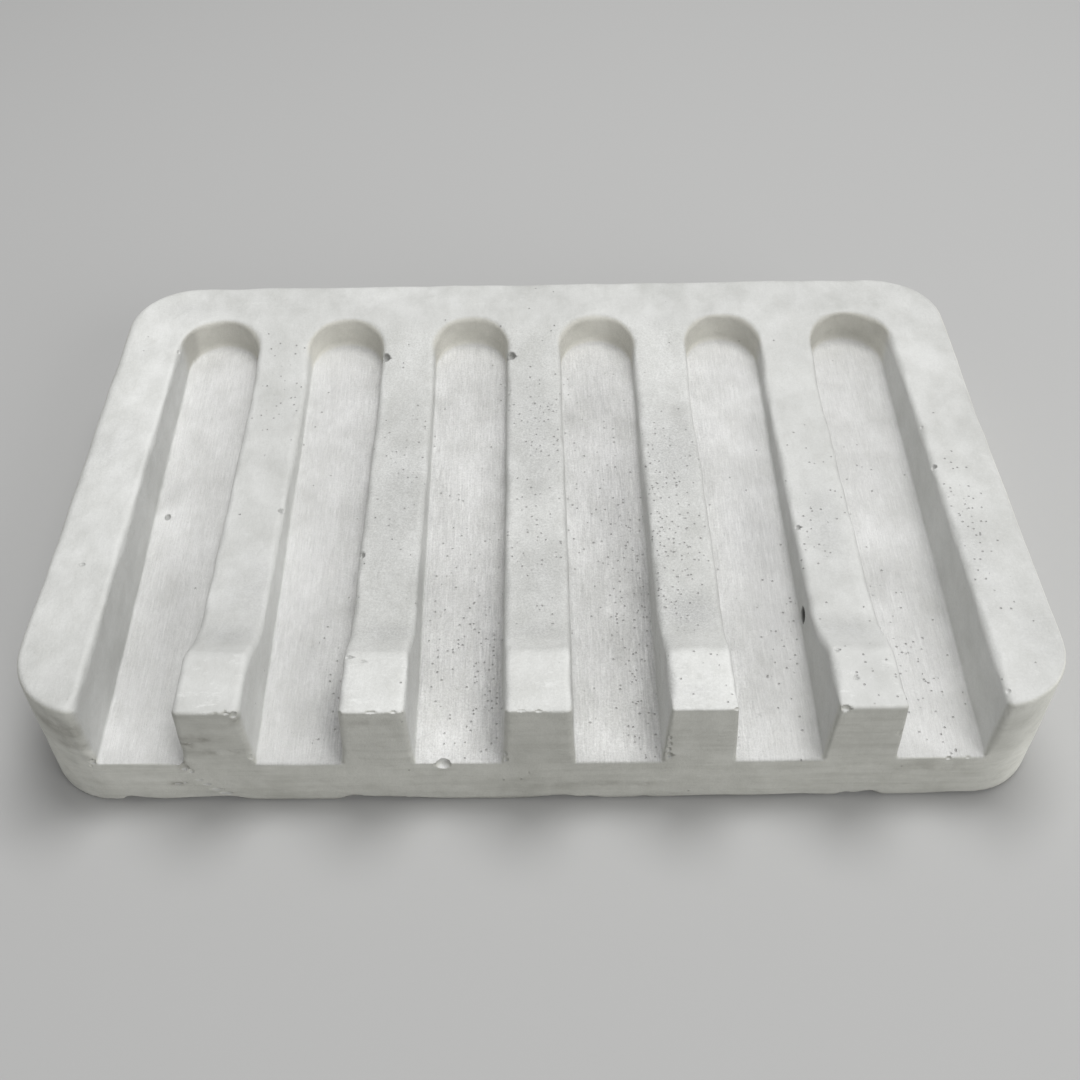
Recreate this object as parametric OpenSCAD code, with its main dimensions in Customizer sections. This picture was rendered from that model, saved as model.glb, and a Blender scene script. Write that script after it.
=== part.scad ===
// Plaster mold: one solid block, cast in one pour of plaster.
// Six parallel channels are sunk into its top face. Each ends in a half round at
// the back, runs out through the front face, and slopes down towards the front.
// The five ridges between them keep full height at the front and are lower behind it.
// Millimetres. +X right, +Y towards the closed back, +Z up.
// The origin is the middle of the flat base.

/* [Block] */
// Width from side to side, at the top face
block_w = 131; // [122:1:150]
// Depth from the open front to the closed back, at the top face
block_d = 90; // [87:1:110]
// Height from the base to the top face
block_h = 19; // [17:0.5:24]
// Radius of the four upright corners
corner_r = 10.5; // [8:0.5:16]
// Rounding of the top edge along the sides and the back
edge_r = 1.6; // [0.4:0.1:2.5]
// Angle by which the outer walls lean in towards the base
wall_lean = 2.5; // [0:0.25:5]

/* [Channels] */
// Distance from one channel's centre line to the next
channel_pitch = 20; // [18:0.25:20]
// Width of a channel at the top face
channel_w = 12; // [9:0.25:14]
// Length of a channel from the front face to the far end of its half round
channel_l = 80; // [70:0.5:81]
// Depth of a channel where it runs out at the front
front_depth = 10.9; // [9:0.1:13]
// Depth of a channel at its closed end
back_depth = 5.1; // [4.2:0.1:8]
// Angle by which a channel's walls lean in towards its floor
channel_lean = 2.4; // [0:0.1:5]

/* [Ridges] */
// Length of the full-height pad at the front of each ridge
pad_l = 9.5; // [6:0.5:16]
// How far the ridges drop behind the pads
dip = 3.8; // [1:0.1:4]
// Length of the slope that leads down from the pads
front_slope_l = 7.5; // [4:0.5:12]
// Length of the slope that leads up to the back rim
back_slope_l = 14; // [8:0.5:24]

/* [Hidden] */
$fn = 96;
channel_count = 6;
over = 1;                       // how far a cutter reaches past the face it opens
dip_end = 0.5;                  // the dip ends this far short of the channels' far ends
front_y = -block_d / 2;
corner_x = block_w / 2 - corner_r;
corner_y = block_d / 2 - corner_r;
end_y = front_y + channel_l;    // the far end of the channels
channel_r = channel_w / 2;
outer_channel_x = (channel_count - 1) / 2 * channel_pitch;
floor_fall = (front_depth - back_depth) / channel_l;

// Rounded to a ten-thousandth of a millimetre, so that pieces that meet share their numbers.
function fine(v) = round(v * 10000) / 10000;

// Where the leaning outer wall is, seen from an axis: `half` away from it at the top face.
function wall_x(half, z) = fine(half - (block_h - z) * tan(wall_lean));

// The middle of the rounded top edge, and the point where the rounding meets the wall.
function arc_centre(half, r) =
    [fine(half - r * tan(wall_lean) - r / cos(wall_lean)), block_h - r];
function arc_start(half, r) =
    [for (i = [0, 1]) fine(arc_centre(half, r)[i] + r * [cos(wall_lean), -sin(wall_lean)][i])];

// Section from an axis to the outer wall, with the top edge rounded to radius r.
module wall_section(half, r) {
    centre = arc_centre(half, r);
    polygon([
        [0, 0],
        [wall_x(half, 0), 0],
        arc_start(half, r),
        centre,
        [centre[0], block_h],
        [0, block_h],
    ]);
    translate(centre) circle(r);
}

// The same section with the rounded edge filled up to a sharp one.
module sharp_wall_section(half, r) {
    centre = arc_centre(half, r);
    wall_section(half, r);
    polygon([centre, arc_start(half, r), [half, block_h], [centre[0], block_h]]);
}

// Left wall to right wall, between the centres of the corners.
module block_middle() {
    translate([0, corner_y, 0]) rotate([90, 0, 0]) linear_extrude(2 * corner_y)
        for (side = [0, 1]) mirror([side, 0]) wall_section(block_w / 2, edge_r);
}

// The strips behind and in front of that. The front edge is sharp.
module block_ends() {
    translate([-corner_x, 0, 0]) rotate([90, 0, 90]) linear_extrude(2 * corner_x) {
        translate([corner_y, 0]) wall_section(corner_r, edge_r);
        translate([-corner_y, 0]) mirror([1, 0]) sharp_wall_section(corner_r, edge_r);
    }
}

// One quarter turn of the wall's section at each corner.
module block_corners() {
    for (side = [0, 1], end = [0, 1]) mirror([side, 0, 0]) mirror([0, end, 0])
        translate([corner_x, corner_y, 0]) rotate_extrude(angle = 90)
            wall_section(corner_r, edge_r);
}

module solid_block() {
    block_middle();
    block_ends();
    block_corners();
}

// Half of a channel's section, deeper and higher than the channel itself.
module half_channel_section() {
    low = block_h - front_depth - over;
    high = block_h + over;
    low_r = channel_r - (block_h - low) * tan(channel_lean);
    high_r = channel_r + over * tan(channel_lean);
    polygon([[0, low], [low_r, low], [high_r, high], [0, high]]);
}

// One channel: leaning walls, and half a cone at the closed end.
module channel_slot() {
    round_y = end_y - channel_r;
    translate([0, round_y, 0]) {
        rotate([90, 0, 0]) linear_extrude(round_y - front_y + over)
            for (side = [0, 1]) mirror([side, 0]) half_channel_section();
        rotate_extrude(angle = 180) half_channel_section();
    }
}

// Everything above the sloping floors.
module above_floors() {
    floor_front_z = block_h - front_depth - over * floor_fall;
    floor_back_z = block_h - back_depth + over * floor_fall;
    top_z = block_h + 2 * over;
    translate([-block_w / 2, 0, 0]) rotate([90, 0, 90]) linear_extrude(block_w)
        polygon([
            [front_y - over, floor_front_z],
            [end_y + over, floor_back_z],
            [end_y + over, top_z],
            [front_y - over, top_z],
        ]);
}

module channels() {
    intersection() {
        for (i = [0 : channel_count - 1])
            translate([i * channel_pitch - outer_channel_x, 0, 0]) channel_slot();
        above_floors();
    }
}

// The dip across the ridges, from the middle of the first channel to the middle of the last.
module ridge_dip() {
    back_y = end_y - dip_end;
    translate([-outer_channel_x, 0, 0]) rotate([90, 0, 90]) linear_extrude(2 * outer_channel_x)
        polygon([
            [front_y + pad_l, block_h],
            [front_y + pad_l + front_slope_l, block_h - dip],
            [back_y - back_slope_l, block_h - dip],
            [back_y, block_h],
            [back_y, block_h + over],
            [front_y + pad_l, block_h + over],
        ]);
}

module mold_block() {
    color([0.85, 0.86, 0.84]) difference() {
        solid_block();
        channels();
        ridge_dip();
    }
}

mold_block();
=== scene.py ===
"""The look of a cast plaster mold: a low block with six sloping channels.

The block is described once, as a signed distance in millimetres, so that every edge has its own
rounding, and a mesh is laid over it. Bubbles, chips and the ragged pour edge are cut into the
same description. Stains, pores, brush marks, and painted light and shade are values stored on
the mesh, which the one plaster material reads.
"""
import math

import bmesh
import bpy
import numpy as np
from mathutils import Matrix, Vector


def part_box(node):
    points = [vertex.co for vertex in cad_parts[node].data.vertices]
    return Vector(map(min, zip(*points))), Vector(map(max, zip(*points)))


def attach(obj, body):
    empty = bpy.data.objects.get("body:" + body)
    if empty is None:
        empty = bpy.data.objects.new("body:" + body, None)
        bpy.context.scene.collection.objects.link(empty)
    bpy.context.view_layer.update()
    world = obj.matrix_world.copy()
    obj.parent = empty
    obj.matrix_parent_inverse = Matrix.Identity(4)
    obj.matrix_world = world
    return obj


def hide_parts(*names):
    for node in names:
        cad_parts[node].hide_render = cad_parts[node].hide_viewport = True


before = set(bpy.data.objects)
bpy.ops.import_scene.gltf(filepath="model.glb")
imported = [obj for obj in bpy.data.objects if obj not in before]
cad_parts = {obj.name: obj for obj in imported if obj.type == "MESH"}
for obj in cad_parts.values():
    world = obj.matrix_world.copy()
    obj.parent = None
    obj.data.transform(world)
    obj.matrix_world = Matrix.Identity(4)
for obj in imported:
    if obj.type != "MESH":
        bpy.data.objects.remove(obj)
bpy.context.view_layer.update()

MM = 0.001
SLIVER = 0.002 * MM                   # edges shorter than this are merged away
low, high = (np.array(corner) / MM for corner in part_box("mold_block"))

# ---------------------------------------------------------------- sizes, in millimetres
FRONT, TOP = low[1], high[2]
HALF_WIDTH, HALF_DEPTH = 65.5, 45.0   # at the top face, if its edges were sharp
WIDER_BACK = 0.3                      # each side wall stands out this much more at the back
CORNER_R = 10.5
CORNER_SPREAD = 0.3                   # the back corners are rounder than the front ones
WALL_LEAN = math.radians(2.5)
FRONT_BOW = 0.42                      # the front face swells this much in the middle
TOP_ROUND = 1.6

PITCH = 20.0
OUTER_CHANNEL = 50.0                  # from the middle to the outer channels' centre lines
CHANNEL_HALF = 5.95                   # half a channel's width at the top face
CHANNEL_END = FRONT + 80.0
CHANNEL_ROUND = CHANNEL_END - CHANNEL_HALF
CHANNEL_LEAN = math.radians(2.4)
FLOOR_FRONT = TOP - 10.9
FLOOR_RISE = 5.8 / 80.0               # the floor climbs towards the closed end

PAD_BACK = FRONT + 9.2                # where the full-height pads end
PAD_SLOPE = 0.56                      # fall per millimetre behind the pads
PAD_JOIN, DIP_FRONT_JOIN = 0.5, 1.8   # how far the bends at the top and foot of that slope reach
DIP_LEVEL = TOP - 3.8
BACK_SLOPE = 0.29                     # rise per millimetre towards the back rim
RIM_JOIN, DIP_BACK_JOIN = 0.35, 0.9   # the same for the bends of the back slope

GRID = 0.4                            # spacing of the sampling grid
MARGIN = 1.2                          # empty space kept round the block in that grid
MOST_TRIANGLES = 190_000
# Unevenness of the surface: height, size of the bumps, seed.
UNEVEN = [(0.055, 15.0, 3), (0.016, 4.5, 4)]

# Bubbles and chips: x, y, z of the middle, then the half lengths along x, y and z.
# They were picked on the photo; many places were then worked out with a fitted camera.
FAULTS = [
    (-23.7, 27.5, 16.7, 0.85, 0.85, 0.85), (-3.7, 27.5, 16.7, 0.8, 0.8, 0.85),
    (-3.95, 22.3, 15.8, 0.35, 0.4, 0.4), (-3.95, 20.5, 15.3, 0.4, 0.35, 0.4),
    (4.0, 23.1, 15.9, 0.35, 0.35, 0.4), (3.95, 18.4, 15.3, 0.35, 0.35, 0.4),
    (-0.1, 17.4, 15.2, 0.3, 0.3, 0.3), (24.1, 12.4, 15.2, 0.35, 0.35, 0.35),
    (-36.1, -5.9, 15.1, 0.55, 0.45, 0.45), (-24.0, -15.1, 15.1, 0.5, 0.65, 0.6),
    (56.1, -2.4, 18.8, 0.55, 0.5, 0.5), (36.0, -23.4, 11.2, 1.7, 1.15, 1.2),
    (-56.0, 27.2, 18.8, 0.4, 0.5, 0.45), (-53.8, -2.8, 11.1, 0.35, 0.5, 0.35),
    (56.2, 6.3, 18.9, 0.35, 0.35, 0.35), (36.4, -10.5, 15.1, 0.35, 0.35, 0.3),
    (37.0, -36.0, 19.0, 0.4, 0.35, 0.3), (28.3, -38.3, 8.7, 0.3, 0.3, 0.25),
    (56.1, -42.8, 18.9, 0.45, 0.35, 0.3), (-16.2, -38.2, 19.05, 0.5, 0.3, 0.2),
    (-23.4, -36.6, 18.95, 0.5, 0.25, 0.2), (-21.6, -37.3, 19.05, 0.35, 0.25, 0.2),
    (17.6, -38.6, 19.0, 0.9, 0.35, 0.14), (19.4, -40.2, 19.0, 0.6, 0.3, 0.12),
    (-60.5, -20.0, 19.0, 0.35, 0.3, 0.2), (38.5, -40.7, 19.0, 0.3, 0.3, 0.2),
]
DEEP_HOLE = (36.0, -23.4, 11.2)       # the one of these that is deep enough to look black

# The same on the front face: x, z, then the half width, depth and half height.
FRONT_FAULTS = [
    (-11.9, 7.75, 0.9, 0.8, 0.75), (-4.35, 10.1, 0.5, 0.6, 0.55), (-4.1, 8.9, 0.35, 0.4, 0.4),
    (-44.6, 7.4, 0.6, 0.6, 0.65), (-43.9, 6.6, 0.4, 0.35, 0.4), (-45.3, 8.3, 0.4, 0.4, 0.3),
    (-46.1, 3.8, 0.6, 0.25, 0.22), (-45.2, 4.0, 0.3, 0.2, 0.2), (-43.2, 4.6, 0.45, 0.25, 0.2),
    (-42.4, 3.6, 0.5, 0.25, 0.2), (-41.4, 2.5, 0.6, 0.3, 0.25), (-40.3, 1.6, 0.8, 0.35, 0.3),
    (-43.9, 12.4, 0.5, 0.16, 0.16), (-42.9, 12.8, 0.45, 0.16, 0.14), (-44.4, 12.0, 0.2, 0.14, 0.3),
    (-35.8, 9.7, 0.35, 0.35, 0.5), (-56.0, 8.5, 0.4, 0.4, 0.4), (-56.4, 7.6, 0.2, 0.25, 0.3),
    (16.05, 13.3, 0.3, 0.35, 0.45), (16.2, 12.1, 0.25, 0.3, 0.4), (16.1, 10.9, 0.3, 0.35, 0.5),
    (16.2, 9.6, 0.5, 0.5, 0.55), (-36.5, 18.5, 0.5, 0.45, 0.5), (-37.4, 18.9, 0.5, 0.3, 0.2),
    (-36.1, 17.7, 0.25, 0.3, 0.4), (-38.6, 18.95, 0.4, 0.2, 0.15),
    (-24.0, 18.7, 0.5, 0.5, 0.6), (-20.0, 18.95, 0.7, 0.35, 0.25), (-17.3, 18.95, 0.4, 0.3, 0.2),
    (-2.0, 19.0, 0.5, 0.35, 0.2), (0.1, 18.95, 0.4, 0.3, 0.2), (36.6, 18.8, 0.6, 0.5, 0.5),
    (43.9, 13.7, 0.45, 0.35, 0.7), (44.1, 16.0, 0.25, 0.25, 0.35), (51.0, 8.0, 0.35, 0.25, 0.25),
    (53.4, 8.1, 0.35, 0.25, 0.25), (13.6, 3.3, 0.5, 0.14, 0.14), (55.9, 16.8, 0.5, 0.5, 0.7),
    (55.7, 14.3, 0.4, 0.4, 0.9), (23.8, 18.9, 0.35, 0.3, 0.25), (-1.3, 6.0, 0.2, 0.15, 0.2),
]

# Nicks along the lower front edge: x, reach to the left, reach to the right, height.
NICKS = [
    (-53.0, 0.7, 3.0, 0.75), (-44.0, 4.0, 4.0, 0.35), (-39.8, 2.5, 1.6, 0.55),
    (-24.0, 1.2, 2.4, 0.85), (-19.0, 3.5, 4.0, 0.5), (2.8, 3.0, 2.0, 0.5),
    (6.6, 0.8, 1.0, 0.2), (13.4, 0.7, 0.9, 0.2), (22.0, 4.0, 4.0, 0.2),
    (33.0, 5.0, 4.0, 0.25), (39.2, 0.8, 1.0, 0.4), (42.6, 2.4, 1.0, 0.75),
    (54.0, 4.0, 4.0, 0.3),
]


# ---------------------------------------------------------------- small helpers
def blend(a, b, x):
    """0 below a, 1 above b, and a smooth step between them."""
    t = np.clip((x - a) / (b - a), 0.0, 1.0)
    return t * t * (3.0 - 2.0 * t)


def soft_min(a, b, reach):
    h = np.maximum(reach - np.abs(a - b), 0.0) / reach
    return np.minimum(a, b) - h * h * reach * 0.25


def soft_max(a, b, reach):
    return -soft_min(-a, -b, reach)


def meet(a, b, radius):
    """The part common to two solids, with the edge between them rounded to a radius."""
    over_a = np.maximum(a + radius, 0.0)
    over_b = np.maximum(b + radius, 0.0)
    return np.minimum(np.maximum(a, b), -radius) + np.hypot(over_a, over_b)


def ripples(points, size, seed, waves=24):
    """A smooth random value at each point, about -2 to 2, with bumps of the given size."""
    draw = np.random.default_rng(seed)
    ways = draw.normal(size=(waves, 3)) * (3.7 / size)
    phases = draw.uniform(0.0, 2.0 * math.pi, waves)
    total = np.zeros(len(points))
    for way, phase in zip(ways, phases):
        total += np.cos(points @ way + phase)
    return total * math.sqrt(2.0 / waves)


# ---------------------------------------------------------------- the block
def outer_wall(x, y, z):
    """Signed distance to the leaning outer walls."""
    back = y / HALF_DEPTH
    radius = CORNER_R + CORNER_SPREAD * back
    bow = FRONT_BOW * (1.0 - (x / HALF_WIDTH) ** 2) * blend(0.0, FRONT, y)
    out_x = np.abs(x) - (HALF_WIDTH + WIDER_BACK * back - radius)
    out_y = np.abs(y) - (HALF_DEPTH + bow - radius)
    plan = np.hypot(np.maximum(out_x, 0.0), np.maximum(out_y, 0.0))
    plan = plan + np.minimum(np.maximum(out_x, out_y), 0.0) - radius
    return (plan + (TOP - z) * math.tan(WALL_LEAN)) * math.cos(WALL_LEAN)


def front_face(x, z):
    """How far forward the front face lies at a given place."""
    bow = FRONT_BOW * (1.0 - (x / HALF_WIDTH) ** 2)
    return FRONT - bow + (TOP - z) * math.tan(WALL_LEAN)


def all_faults():
    """Every bubble and chip as its middle and its half lengths along x, y and z."""
    on_front = [(x, front_face(x, z), z, *size) for x, z, *size in FRONT_FAULTS]
    return FAULTS + on_front


def ridge_level(y):
    """Height of the ridge tops along the block: pad, slope, dip, long slope, back rim."""
    flat = np.full_like(y, TOP)
    down = soft_min(TOP - (y - PAD_BACK) * PAD_SLOPE, flat, PAD_JOIN)
    up = soft_min(TOP - (CHANNEL_END - y) * BACK_SLOPE, flat, RIM_JOIN)
    dip = soft_max(np.full_like(y, DIP_LEVEL), down, DIP_FRONT_JOIN)
    return soft_max(dip, up, DIP_BACK_JOIN)


def top_face(x, y, z):
    """Signed distance to the top: flat rims, and ridges that dip between them."""
    ridge = ridge_level(y)
    steep = (ridge_level(y + 0.05) - ridge) / 0.05
    on_ridges = np.abs(x) < OUTER_CHANNEL
    level = np.where(on_ridges, ridge, TOP)
    fall = np.where(on_ridges, steep, 0.0)
    return (z - level) / np.sqrt(1.0 + fall * fall)


def channel_centre(x):
    return np.clip(np.round((x + OUTER_CHANNEL) / PITCH), 0, 5) * PITCH - OUTER_CHANNEL


def floor_level(y):
    return FLOOR_FRONT + (y - FRONT) * FLOOR_RISE


def channel_space(x, y, z):
    """Signed distance to the nearest channel's empty space."""
    plan = np.hypot(x - channel_centre(x), np.maximum(y - CHANNEL_ROUND, 0.0))
    half = CHANNEL_HALF - (TOP - z) * math.tan(CHANNEL_LEAN)
    wall = (plan - half) * math.cos(CHANNEL_LEAN)
    floor_gap = (floor_level(y) - z) * math.cos(math.atan(FLOOR_RISE))
    fillet = 0.4 + 0.7 * blend(CHANNEL_ROUND, CHANNEL_END, y)
    return meet(wall, floor_gap, fillet)


def pour_edge(x, y):
    """How high the ragged rim of the pour face stands above what the block rests on."""
    front = sum(
        height * np.exp(-(((x - at) / np.where(x < at, left, right)) ** 2))
        for at, left, right, height in NICKS
    )
    rest = 0.35 * np.sin(0.23 * x + 0.31 * y) + 0.25 * np.sin(0.71 * x - 0.53 * y + 1.0)
    return np.where(y < -33.0, front, np.clip(rest + 0.1, 0.0, 0.8))


def pour_face(x, y):
    """Shallow hollows left in the underside when the wet plaster was struck off level."""
    drag = np.sin(0.85 * y + 0.9 * np.sin(0.09 * x)) + 0.6 * np.sin(2.1 * y - 0.13 * x + 1.0)
    return 0.07 * (2.15 + drag + 0.5 * np.sin(0.31 * x + 0.17 * y))


def edge_rounding(x, y, z):
    """Radius of the edge round each channel. At the front the floors' edges are crisp."""
    worn = 1.0 + 0.2 * np.sin(0.31 * y + 0.9 * x) + 0.15 * np.sin(0.87 * y - 0.4 * x)
    along = 0.85 * worn
    upright = 0.9 - 0.55 * blend(2.0, 8.0, x) + 0.6 * blend(54.0, 56.0, np.abs(x))
    at_front = 0.25 + (upright - 0.25) * blend(0.3, 2.5, z - floor_level(y))
    return along + (at_front - along) * (1.0 - blend(FRONT + 0.5, FRONT + 3.5, y))


def cut_faults(distance, x, y, z):
    """Takes the bubbles and chips out of the solid, where the points lie near them."""
    for fault in all_faults():
        middle, size = fault[:3], np.array(fault[3:])
        reach = size.max() + 0.6
        near = np.abs(x - middle[0]) < reach
        if not near.any():
            continue
        near &= (np.abs(y - middle[1]) < reach) & (np.abs(z - middle[2]) < reach)
        if not near.any():
            continue
        away = np.stack([x[near], y[near], z[near]], -1) - middle
        hollow = (np.sqrt(((away / size) ** 2).sum(-1)) - 1.0) * size.min()
        distance[near] = meet(distance[near], -hollow, 0.08)
    return distance


def sound_solid(x, y, z):
    """Signed distance to the plaster as if it had no bubbles or chips: negative inside it."""
    walls = outer_wall(x, y, z)
    front = 1.0 - blend(-36.0, 0.0, y)
    crisp = front * (0.8 + 0.45 * (1.0 - blend(44.0, 56.0, np.abs(x))))
    block = meet(walls, top_face(x, y, z), TOP_ROUND - crisp)
    rim = blend(-2.6, -0.3, walls)
    lift = pour_edge(x, y) * rim + pour_face(x, y) * (1.0 - rim)
    block = meet(block, lift - z, 0.25)
    return meet(block, -channel_space(x, y, z), edge_rounding(x, y, z))


def solid(x, y, z):
    return cut_faults(sound_solid(x, y, z), x, y, z)


def skin(points):
    """The same, with the slight unevenness of a hand-made master."""
    uneven = sum(height * ripples(points, size, seed) for height, size, seed in UNEVEN)
    return solid(*points.T) + uneven * blend(0.0, 1.0, points[:, 2])


# ---------------------------------------------------------------- from distances to a mesh
def sample_block():
    """The distance function on a grid round the block, one slab of the grid at a time."""
    start = np.array([low[0], low[1] - FRONT_BOW, low[2]]) - MARGIN
    count = np.ceil((high + MARGIN - start) / GRID).astype(int) + 1
    axes = [start[i] + GRID * np.arange(count[i]) for i in range(3)]
    field = np.empty(tuple(count), np.float32)
    y, z = np.meshgrid(axes[1], axes[2], indexing="ij")
    for i, x in enumerate(axes[0]):
        field[i] = solid(np.full_like(y, x), y, z)
    return field, start


def crossed_edges(field, axis):
    """Grid edges along one axis that the surface crosses: start index, crossing share, way."""
    near = np.moveaxis(field, axis, 0)
    cross = np.argwhere((near[:-1] < 0) != (near[1:] < 0))
    cross = np.insert(np.delete(cross, 0, 1), axis, cross[:, 0], 1)
    step = np.zeros(3, int)
    step[axis] = 1
    first = field[tuple(cross.T)]
    second = field[tuple((cross + step).T)]
    return cross, first / (first - second), first < 0


def surface_nets(field, start):
    """One vertex in each crossed cell and one quad round each crossed edge."""
    cell_ids, cell_points, quads = [], [], []
    for axis in range(3):
        edge, share, leaving = crossed_edges(field, axis)
        point = edge.astype(float)
        point[:, axis] += share
        side_a, side_b = (axis + 1) % 3, (axis + 2) % 3
        ring = []
        for back_a, back_b in ((0, 0), (1, 0), (1, 1), (0, 1)):
            cell = edge.copy()
            cell[:, side_a] -= back_a
            cell[:, side_b] -= back_b
            ring.append(np.ravel_multi_index(tuple(cell.T), field.shape))
            cell_points.append(point)
        ring = np.stack(ring, 1)
        cell_ids.append(ring.T.ravel())
        quads.append(np.where(leaving[:, None], ring, ring[:, ::-1]))
    ids, slot = np.unique(np.concatenate(cell_ids), return_inverse=True)
    points = np.concatenate(cell_points)
    count = np.bincount(slot, minlength=len(ids))
    vertices = np.stack([np.bincount(slot, points[:, i]) / count for i in range(3)], 1)
    return start + GRID * vertices, np.searchsorted(ids, np.concatenate(quads))


def gradient(points, reach=0.02):
    """Slope of the distance function at each point."""
    slope = np.empty_like(points)
    for i in range(3):
        step = np.zeros(3)
        step[i] = reach
        slope[:, i] = (skin(points + step) - skin(points - step)) / (2 * reach)
    return slope


def settle(points, rounds):
    """Moves points onto the surface, along the slope of the distance function."""
    for _ in range(rounds):
        slope = gradient(points)
        size = np.maximum((slope * slope).sum(1), 0.2)
        move = -(skin(points) / size)[:, None] * slope
        points = points + np.clip(move, -GRID / 3, GRID / 3)
    return points


def mesh_points(mesh):
    flat = np.empty(len(mesh.vertices) * 3)
    mesh.vertices.foreach_get("co", flat)
    return flat.reshape(-1, 3) / MM


def place_points(mesh, points):
    points[:, 2] = np.maximum(points[:, 2], 0.0)
    mesh.vertices.foreach_set("co", (points * MM).ravel())
    mesh.update()


def edit_mesh(mesh, change):
    """Applies a change to the mesh, and splits what it leaves into triangles."""
    work = bmesh.new()
    work.from_mesh(mesh)
    change(work)
    bmesh.ops.triangulate(work, faces=work.faces)
    work.to_mesh(mesh)
    work.free()


def refine_near_faults(mesh):
    """Splits the edges round each bubble and chip, so that they come out round."""
    points = mesh_points(mesh)
    close = np.zeros(len(points), bool)
    for fault in all_faults():
        close |= (np.abs(points - fault[:3]) < max(fault[3:]) + 0.35).all(1)

    def split_close_edges(work):
        edges = [e for e in work.edges if all(close[v.index] for v in e.verts)]
        bmesh.ops.subdivide_edges(work, edges=edges, cuts=2, use_grid_fill=True)

    edit_mesh(mesh, split_close_edges)


def drop_slivers(work):
    bmesh.ops.dissolve_degenerate(work, dist=SLIVER, edges=work.edges)


def thin_out(piece):
    """Merges triangles where the surface is nearly flat, down to a set number."""
    thin = piece.modifiers.new("thin", "DECIMATE")
    thin.ratio = min(1.0, MOST_TRIANGLES / len(piece.data.polygons))
    view = bpy.context.evaluated_depsgraph_get()
    thinner = bpy.data.meshes.new_from_object(piece.evaluated_get(view))
    piece.modifiers.clear()
    old = piece.data
    piece.data = thinner
    bpy.data.meshes.remove(old)
    edit_mesh(thinner, drop_slivers)
    thinner.name = piece.name


def build_casting():
    points, faces = surface_nets(*sample_block())
    mesh = bpy.data.meshes.new("casting")
    mesh.from_pydata((points * MM).tolist(), [], faces.tolist())
    casting = bpy.data.objects.new("plaster_casting", mesh)
    bpy.context.scene.collection.objects.link(casting)
    refine_near_faults(mesh)
    place_points(mesh, settle(mesh_points(mesh), 3))
    thin_out(casting)
    mesh = casting.data
    points = settle(mesh_points(mesh), 2)
    place_points(mesh, points)
    normals = gradient(points)
    normals /= np.linalg.norm(normals, axis=1)[:, None]
    mesh.polygons.foreach_set("use_smooth", [True] * len(mesh.polygons))
    mesh.normals_split_custom_set_from_vertices(normals.tolist())
    store_surface_values(mesh, points, normals)
    return casting


# ---------------------------------------------------------------- values on the surface
# Patches: x, y, half lengths along x and y, and strength.
PORE_PATCHES = [
    (18.5, -12.0, 4.5, 18.0, 1.0), (48.0, -30.0, 3.5, 12.0, 0.6), (52.0, -36.0, 3.5, 7.0, 0.45),
    (58.5, -14.0, 2.2, 12.0, 0.6), (-7.5, -31.0, 2.6, 16.0, 0.9), (13.5, -22.0, 2.6, 22.0, 1.0),
    (-38.5, 20.0, 4.0, 12.0, 0.3), (-26.6, -36.0, 1.6, 8.0, 0.5), (33.0, -32.0, 3.0, 12.0, 0.4),
    (40.0, -39.5, 4.0, 5.5, 0.22), (0.0, 12.0, 5.0, 14.0, 0.5), (10.0, -5.0, 5.0, 24.0, 0.3),
    (38.0, -12.0, 3.5, 10.0, 0.3), (45.0, 0.0, 3.0, 10.0, 0.25), (-20.0, 5.0, 4.0, 14.0, 0.35),
    (-12.0, -24.0, 4.0, 20.0, 0.3), (22.0, -38.5, 2.5, 4.0, 0.5), (0.0, -12.0, 4.0, 12.0, 0.4),
]
# Darker patches, partly grey stain and partly painted shade: the walls' shadow along the right side
# of the floors, and shade on the slopes behind the pads.
SHADE_PATCHES = [
    (-26.0, -37.5, 2.0, 5.5, 1.0), (-25.0, -39.0, 1.2, 5.0, 1.0),
    (-6.0, -30.0, 2.2, 15.0, 0.75), (14.8, -24.0, 2.0, 22.0, 0.9),
    (28.0, -38.0, 3.0, 5.0, 0.3), (12.0, 0.0, 5.0, 14.0, 0.5), (20.0, -26.0, 4.0, 3.5, 0.8),
    (-19.0, -2.0, 5.0, 18.0, 0.45), (0.0, 10.0, 5.0, 14.0, 0.5), (20.0, 6.0, 6.0, 11.0, 0.6),
    (0.0, -20.0, 5.0, 10.0, 0.4), (57.0, -20.0, 3.0, 12.0, 0.3), (-38.0, -22.0, 4.0, 6.0, 0.4),
    (31.0, -6.0, 4.0, 12.0, 0.5), (40.0, -10.0, 3.0, 9.0, 0.45), (-19.0, -30.0, 4.0, 2.6, 0.7),
    (0.0, -30.0, 4.0, 2.6, 0.6), (-40.0, -30.0, 4.0, 2.6, 0.5), (40.0, -30.0, 4.0, 2.6, 0.4),
    (-62.0, 4.0, 3.0, 5.0, 0.3), (62.5, -32.0, 3.0, 5.0, 0.25), (-57.0, 38.0, 5.0, 2.0, 0.3),
    (-50.0, -20.0, 3.0, 8.0, 0.25), (19.0, -42.5, 2.0, 1.2, 0.3), (10.0, 22.0, 2.0, 6.0, 0.3),
]
# Where whitish smears of slurry have dried on the top; the white is partly a painted highlight,
# standing for glints on glossy spots.
SMEAR_AND_GLINT_PATCHES = [
    (-61.5, 22.0, 3.0, 10.0, 0.7), (-60.0, -38.0, 3.5, 3.0, 0.7), (-20.0, 40.0, 30.0, 4.0, 0.3),
    (59.0, -40.0, 3.0, 4.0, 0.6), (63.0, -8.0, 2.0, 10.0, 0.5), (-44.0, 38.0, 4.0, 3.0, 0.5),
    (-22.0, 12.0, 3.0, 20.0, 0.25), (17.0, 8.0, 3.0, 16.0, 0.35),
]
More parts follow.
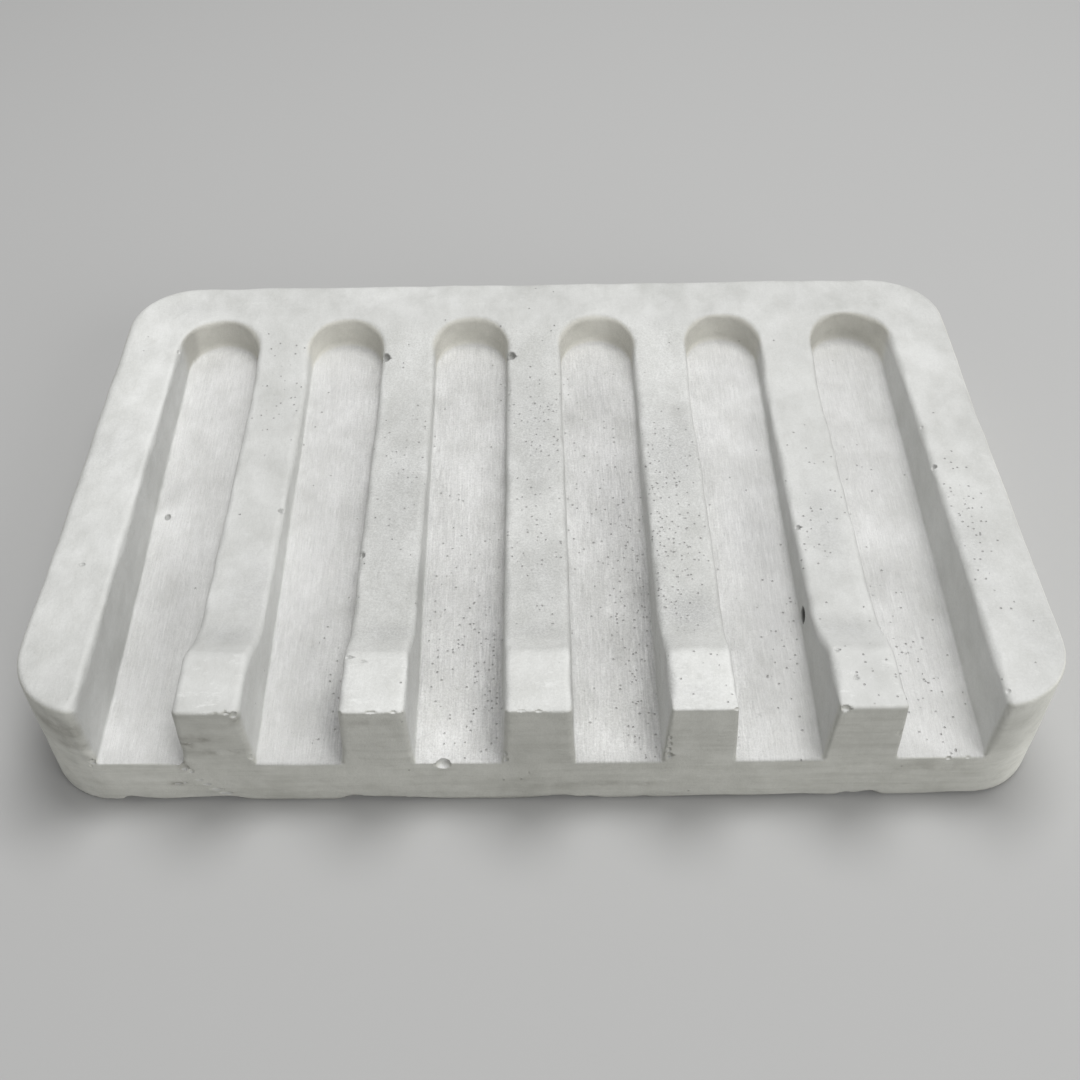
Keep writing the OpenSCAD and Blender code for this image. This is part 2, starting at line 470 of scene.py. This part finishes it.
# Lighter and darker ground, partly the plaster's own tone and partly painted light, lighter where
# more light falls: x, y, half lengths along x and y, and how much lighter.
LIGHT_AND_TONE_PATCHES = [
    (-62.0, 26.0, 8.0, 44.0, 0.17), (-50.0, 12.0, 6.0, 30.0, 0.07), (60.0, 0.0, 6.0, 26.0, 0.04),
    (30.0, -38.0, 5.5, 9.0, 0.15), (49.0, -6.0, 6.0, 40.0, 0.12), (-11.0, -38.0, 4.5, 9.0, 0.21),
    (8.5, -39.0, 4.5, 8.0, 0.18), (-30.0, 0.0, 6.0, 30.0, 0.08), (-10.0, -4.0, 5.0, 26.0, 0.11),
    (-20.0, -31.0, 4.0, 3.0, 0.12), (0.0, -31.0, 4.0, 3.0, 0.12), (10.0, -2.0, 5.0, 24.0, 0.06),
    (40.0, -40.0, 5.0, 6.0, -0.08),
    (-60.0, -30.0, 7.0, 12.0, 0.05), (-40.0, -41.0, 5.0, 4.0, 0.05), (40.0, 39.0, 22.0, 5.0, -0.05),
    (50.0, -38.0, 5.0, 6.0, 0.06), (30.0, 5.0, 5.0, 24.0, 0.15),
]
# Smudges on the front: x, z, half lengths along x and z, and strength.
SMUDGES = [
    (-58.5, 15.0, 3.5, 1.6, 0.8), (-57.0, 11.5, 4.0, 0.7, 0.7), (-42.0, 13.6, 2.2, 0.5, 0.9),
    (-39.5, 10.8, 3.5, 0.35, 0.7), (-55.0, 9.0, 2.0, 0.6, 0.6), (-44.6, 8.0, 0.7, 0.9, 1.0),
    (-46.1, 3.8, 0.9, 0.35, 1.0), (-44.5, 7.3, 0.9, 0.8, 1.0), (-43.4, 12.6, 1.1, 0.3, 1.0),
    (-20.0, 16.8, 3.0, 0.5, 0.4), (10.0, 3.2, 6.0, 0.6, 0.3),
    (12.6, 3.9, 0.6, 0.2, 0.9), (49.0, 6.0, 4.0, 1.2, 0.3), (-36.5, 17.5, 1.0, 0.5, 0.8),
]


def patches(x, y, spots, join=np.maximum):
    """Soft oval patches. Where they overlap the strongest one counts, or another join's result."""
    total = np.zeros_like(x)
    for at_x, at_y, size_x, size_y, strength in spots:
        away = ((x - at_x) / size_x) ** 2 + ((y - at_y) / size_y) ** 2
        total = join(total, strength * np.exp(-away))
    return total


def store_value(mesh, name, values):
    mesh.attributes.new(name, "FLOAT", "POINT").data.foreach_set("value", values)


def store_surface_values(mesh, points, normals):
    """What the material reads: shares from 0 to 1, and a colour factor that paints light and shade.
    """
    x, y, z = points.T
    up = blend(0.5, 0.9, normals[:, 2])
    beside = np.abs(x - channel_centre(x))
    floor = up * (1.0 - blend(5.2, 6.0, beside)) * (1.0 - blend(0.5, 1.2, z - floor_level(y)))
    outside = blend(-1.2, -0.2, outer_wall(x, y, z)) * (1.0 - up)
    pad = up * blend(18.3, 18.8, z) * (1.0 - blend(FRONT + 8.5, FRONT + 10.0, y))
    pad *= 1.0 - blend(54.0, 58.0, np.abs(x))
    depth = -sound_solid(x, y, z)
    # Painted shade: the deep hole goes nearly black inside, and the other bubbles and chips darker
    # with depth, but not at the front.
    off_hole = np.linalg.norm(points - DEEP_HOLE, axis=1)
    hole = blend(0.1, 0.45, depth) * (1.0 - blend(2.0, 2.4, off_hole))
    pit_shade = np.maximum(hole, 0.45 * blend(0.08, 0.35, depth) * blend(-43.5, -42.0, y))
    smudge = outside * (1.0 - blend(-44.0, -36.0, y)) * patches(x, z, SMUDGES)
    inside = (1.0 - up) * (1.0 - outside)
    closed_end = inside * blend(CHANNEL_ROUND - 2.0, CHANNEL_ROUND + 2.0, y)
    tone_and_painted_light = 1.0 + up * patches(x, y, LIGHT_AND_TONE_PATCHES, join=np.add) + 0.02 * pad
    # Painted shade: the leftmost channel's closed end, the left rim's inner wall, and the walls
    # inside the right-hand channels.
    tone_and_painted_light -= 0.14 * closed_end * (1.0 - blend(-50.0, -38.0, x))
    tone_and_painted_light -= 0.18 * inside * blend(54.0, 55.0, -x)
    tone_and_painted_light -= 0.14 * inside * blend(26.0, 34.0, x) * (1.0 - blend(50.0, 54.0, x))
    # Painted light on the outer walls' sides, strongest on the right. Then the outer walls are made
    # lighter towards their foot.
    tone_and_painted_light += outside * (0.20 * blend(56.0, 64.0, -x) + 0.42 * blend(56.0, 64.0, x))
    tone_and_painted_light += outside * (0.10 * (1.0 - blend(6.0, 12.0, z)) - 0.05)
    coarse = 0.35 + 0.65 * (1.0 - blend(21.0, 34.0, np.abs(x))) * (1.0 - blend(30.0, 36.0, y))
    tone_and_painted_light += up * (0.12 * blend(0.35, 1.0, coarse) - 0.03)
    coarse *= (1.0 - 0.5 * pad) * (1.0 - 0.6 * outside)
    values = {
        "floor": floor, "outside": outside, "closed_end": closed_end, "pad": pad, "pit_shade": pit_shade,
        "smudge": smudge, "tone_and_painted_light": tone_and_painted_light, "coarse": coarse,
        "smears_and_glints": up * np.maximum(0.8 * pad, patches(x, y, SMEAR_AND_GLINT_PATCHES)),
        "pores": up * patches(x, y, PORE_PATCHES),
        "shade": up * patches(x, y, SHADE_PATCHES),
    }
    for name, value in values.items():
        store_value(mesh, name, value)


# ---------------------------------------------------------------- material
# Linear colours. The three grounds, then what is laid over them.
TOP_COLOUR = (0.765, 0.770, 0.752, 1.0)
FLOOR_COLOUR = (0.835, 0.835, 0.825, 1.0)
OUTSIDE_COLOUR = (0.685, 0.685, 0.635, 1.0)
# The smear colour is partly a painted highlight.
SMEAR_AND_GLINT_COLOUR = (0.92, 0.93, 0.91, 1.0)
# The pore colours are painted shade in the pinholes.
PORE_SHADE_COLOUR = (0.30, 0.29, 0.28, 1.0)
WIDE_PORE_SHADE_COLOUR = (0.27, 0.26, 0.25, 1.0)
# Painted shade for the inside of the bubbles, chips and deep hole.
PIT_SHADE_COLOUR = (0.06, 0.06, 0.055, 1.0)


class Graph:
    """Short ways to add nodes to one material."""

    def __init__(self, material):
        material.use_nodes = True
        self.tree = material.node_tree
        self.shader = self.tree.nodes["Principled BSDF"]

    def add(self, kind, out=0, inputs=(), **settings):
        made = self.tree.nodes.new("ShaderNode" + kind)
        for name, value in settings.items():
            setattr(made, name, value)
        for name, value in dict(inputs).items():
            self.feed(made.inputs[name], value)
        return made.outputs[out]

    def feed(self, socket, value):
        if isinstance(value, bpy.types.NodeSocket):
            self.tree.links.new(value, socket)
        else:
            socket.default_value = value

    def math(self, operation, a, b=0.0):
        return self.add("Math", inputs={0: a, 1: b}, operation=operation)

    def value(self, name):
        return self.add("Attribute", "Fac", attribute_name=name)

    def noise(self, where, scale, detail=3.0, rough=0.5):
        return self.add("TexNoise", "Fac", {
            "Vector": where, "Scale": scale, "Detail": detail, "Roughness": rough})

    def stretch(self, where, scale):
        return self.add("Mapping", inputs={"Vector": where, "Scale": scale})

    def ramp(self, value, a, b, low_out=0.0, high_out=1.0):
        return self.add("MapRange", inputs={
            "Value": value, "From Min": a, "From Max": b, "To Min": low_out, "To Max": high_out})

    def mix(self, share, a, b, blend_type="MIX"):
        return self.add("Mix", 2, {0: share, 6: a, 7: b}, data_type="RGBA", blend_type=blend_type)

    def darken(self, colour, share, shade):
        return self.mix(share, colour, (*shade, 1.0), "MULTIPLY")

    def cover(self, colour, share, strength, paint):
        return self.mix(self.math("MULTIPLY", share, strength), colour, paint)

    def bump(self, height, strength, distance, normal=None):
        inputs = {"Height": height, "Strength": strength, "Distance": distance}
        if normal:
            inputs["Normal"] = normal
        return self.add("Bump", inputs=inputs)


def pore_layer(graph, where, cells, radius, amount):
    """Round dots in some cells of a 3-D pattern: 1 at a dot's middle, 0 outside it."""
    pattern = graph.tree.nodes.new("ShaderNodeTexVoronoi")
    graph.feed(pattern.inputs["Vector"], where)
    pattern.inputs["Scale"].default_value = cells
    dot = graph.ramp(pattern.outputs["Distance"], radius, radius * 0.45)
    red = graph.add("SeparateColor", 0, {"Color": pattern.outputs["Color"]})
    chosen = graph.math("LESS_THAN", red, amount)
    return graph.math("MULTIPLY", dot, chosen)


def plaster_material():
    material = bpy.data.materials.new("cast_plaster")
    graph = Graph(material)
    where = graph.add("TexCoord", "Object")
    floor, outside = (graph.value(name) for name in ("floor", "outside"))
    pores, shade, pit_shade = (graph.value(name) for name in ("pores", "shade", "pit_shade"))
    smudge, tone_and_painted_light, coarse = (graph.value(name) for name in ("smudge", "tone_and_painted_light", "coarse"))
    closed_end, smears_and_glints = (graph.value(name) for name in ("closed_end", "smears_and_glints"))

    clouds = graph.noise(where, 75.0, 5.0, 0.6)
    wisps = graph.noise(graph.stretch(where, (1.0, 0.6, 1.0)), 260.0, 7.0, 0.66)
    grain = graph.noise(where, 3400.0, 4.0, 0.8)
    streaks = graph.noise(graph.stretch(where, (1.0, 0.06, 0.06)), 4200.0, 5.0, 0.8)
    bands = graph.noise(graph.stretch(where, (0.08, 1.0, 1.0)), 900.0, 5.0, 0.65)

    colour = graph.mix(floor, TOP_COLOUR, FLOOR_COLOUR)
    colour = graph.mix(outside, colour, OUTSIDE_COLOUR)
    # The tone factor, which paints light and shade as well.
    colour = graph.mix(1.0, colour, tone_and_painted_light, "MULTIPLY")
    colour = graph.darken(colour, closed_end, (1.03, 1.005, 0.945))
    colour = graph.darken(colour, graph.ramp(clouds, 0.38, 0.66), (0.87, 0.87, 0.865))
    colour = graph.darken(colour, graph.ramp(wisps, 0.40, 0.70), (0.88, 0.88, 0.87))
    specks = graph.math("MULTIPLY", coarse, graph.ramp(grain, 0.40, 0.75))
    colour = graph.darken(colour, specks, (0.76, 0.76, 0.75))
    lines = graph.math("MULTIPLY", floor, graph.ramp(streaks, 0.40, 0.72))
    drawn = graph.math("MULTIPLY", lines, graph.ramp(coarse, 0.35, 1.0, 0.6, 1.0))
    colour = graph.darken(colour, drawn, (0.80, 0.80, 0.80))
    brushed = graph.math("MULTIPLY", outside, graph.ramp(bands, 0.45, 0.75))
    colour = graph.darken(colour, brushed, (0.86, 0.86, 0.85))
    # Painted shade and grey stain from the shade patches, streaky on the floors and grainy
    # elsewhere.
    fibre = graph.mix(floor, grain, streaks)
    stain_and_painted_shade = graph.math("MULTIPLY", shade, graph.ramp(fibre, 0.35, 0.62, 0.45, 1.15))
    colour = graph.darken(colour, stain_and_painted_shade, (0.72, 0.72, 0.73))
    dirt = graph.math("MULTIPLY", smudge, graph.ramp(wisps, 0.38, 0.58, 0.3, 1.0))
    colour = graph.darken(colour, dirt, (0.38, 0.36, 0.33))

    # Whitish smears of slurry with painted highlights: glints on the pads and glossy spots.
    dabs = graph.noise(graph.stretch(where, (0.7, 1.6, 1.0)), 480.0, 5.0, 0.7)
    smear_and_glint = graph.math("MULTIPLY", smears_and_glints, graph.ramp(dabs, 0.56, 0.70))
    colour = graph.cover(colour, smear_and_glint, 0.7, SMEAR_AND_GLINT_COLOUR)

    flat = graph.stretch(where, (1.0, 1.0, 0.0))
    small = pore_layer(graph, flat, 1500.0, 0.25, pores)
    wide_share = graph.math("MULTIPLY", graph.math("MULTIPLY", pores, pores), 0.3)
    large = pore_layer(graph, flat, 850.0, 0.15, wide_share)
    rare = pore_layer(graph, where, 420.0, 0.06, 0.2)
    # Painted shade: the pinholes as dark dots, besides their dents in the bump.
    colour = graph.cover(colour, small, 0.46, PORE_SHADE_COLOUR)
    colour = graph.cover(colour, large, 0.50, WIDE_PORE_SHADE_COLOUR)
    colour = graph.cover(colour, rare, 0.40, WIDE_PORE_SHADE_COLOUR)
    # Painted shade inside the bubbles and chips, nearly black in the deep hole.
    colour = graph.cover(colour, pit_shade, 0.9, PIT_SHADE_COLOUR)

    holes = graph.math("MAXIMUM", graph.math("MAXIMUM", small, large), rare)
    normal = graph.bump(clouds, 0.35, 0.0008)
    normal = graph.bump(wisps, 0.4, 0.0006, normal)
    normal = graph.bump(lines, 0.5, 0.00012, normal)
    normal = graph.bump(brushed, 0.4, 0.00014, normal)
    normal = graph.bump(specks, 0.5, 0.00014, normal)
    normal = graph.bump(smear_and_glint, 0.4, 0.0001, normal)
    normal = graph.bump(graph.math("MULTIPLY", holes, -1.0), 1.0, 0.00016, normal)

    rough = graph.ramp(wisps, 0.3, 0.7, 0.75, 0.5)
    rough = graph.math("SUBTRACT", rough, graph.math("MULTIPLY", smear_and_glint, 0.25))
    graph.feed(graph.shader.inputs["Base Color"], colour)
    graph.feed(graph.shader.inputs["Roughness"], rough)
    graph.feed(graph.shader.inputs["Normal"], normal)
    return material


# ---------------------------------------------------------------- the stage
STAGE_GAP = 0.0002                    # metres from the base down to the floor
# The camera was fitted to the photo's edges: metres, degrees and shares of the sensor.
CAMERA_PLACE = (0.0, -0.14663, 0.14791)
CAMERA_TURN, CAMERA_DOWN, CAMERA_ROLL = 1.446, 43.89, -1.661
CAMERA_LENS = 45.46
CAMERA_SHIFT = (0.0269, -0.0175)


def make_floor():
    bpy.ops.mesh.primitive_plane_add(size=3.0, location=(0, 0, -STAGE_GAP))
    floor = bpy.context.object
    floor.name = "floor"
    material = bpy.data.materials.new("pale_floor")
    material.use_nodes = True
    shader = material.node_tree.nodes["Principled BSDF"]
    shader.inputs["Base Color"].default_value = (0.50, 0.50, 0.495, 1.0)
    shader.inputs["Roughness"].default_value = 0.9
    floor.data.materials.append(material)


def make_lamp(name, place, size, power):
    data = bpy.data.lights.new(name, "AREA")
    data.size = size
    data.energy = power
    lamp = bpy.data.objects.new(name, data)
    lamp.location = place
    lamp.rotation_euler = (-Vector(place)).to_track_quat("-Z", "Y").to_euler()
    bpy.context.scene.collection.objects.link(lamp)


def make_light():
    world = bpy.data.worlds.new("studio")
    bpy.context.scene.world = world
    world.use_nodes = True
    background = world.node_tree.nodes["Background"]
    background.inputs["Color"].default_value = (1.0, 1.0, 1.0, 1.0)
    background.inputs["Strength"].default_value = 0.29
    make_lamp("softbox", (0.09, 0.12, 0.62), 0.36, 2.68)
    make_lamp("side_fill", (0.55, -0.62, 0.42), 0.50, 2.5)


def make_camera():
    """Looks down at the open front, from about 16 cm away."""
    data = bpy.data.cameras.new("camera")
    data.sensor_width = 36.0
    data.lens = CAMERA_LENS
    data.shift_x, data.shift_y = CAMERA_SHIFT
    data.clip_start = 0.01
    camera = bpy.data.objects.new("camera", data)
    turn = Matrix.Rotation(math.radians(CAMERA_TURN), 4, "Z")
    tilt = Matrix.Rotation(math.radians(90.0 - CAMERA_DOWN), 4, "X")
    roll = Matrix.Rotation(math.radians(CAMERA_ROLL), 4, "Z")
    camera.matrix_world = Matrix.Translation(CAMERA_PLACE) @ turn @ tilt @ roll
    bpy.context.scene.collection.objects.link(camera)
    bpy.context.scene.camera = camera


def main():
    casting = build_casting()
    casting.data.materials.append(plaster_material())
    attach(casting, "root")
    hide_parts("mold_block")
    make_floor()
    make_light()
    make_camera()
    bpy.context.scene.view_settings.view_transform = "Standard"


main()
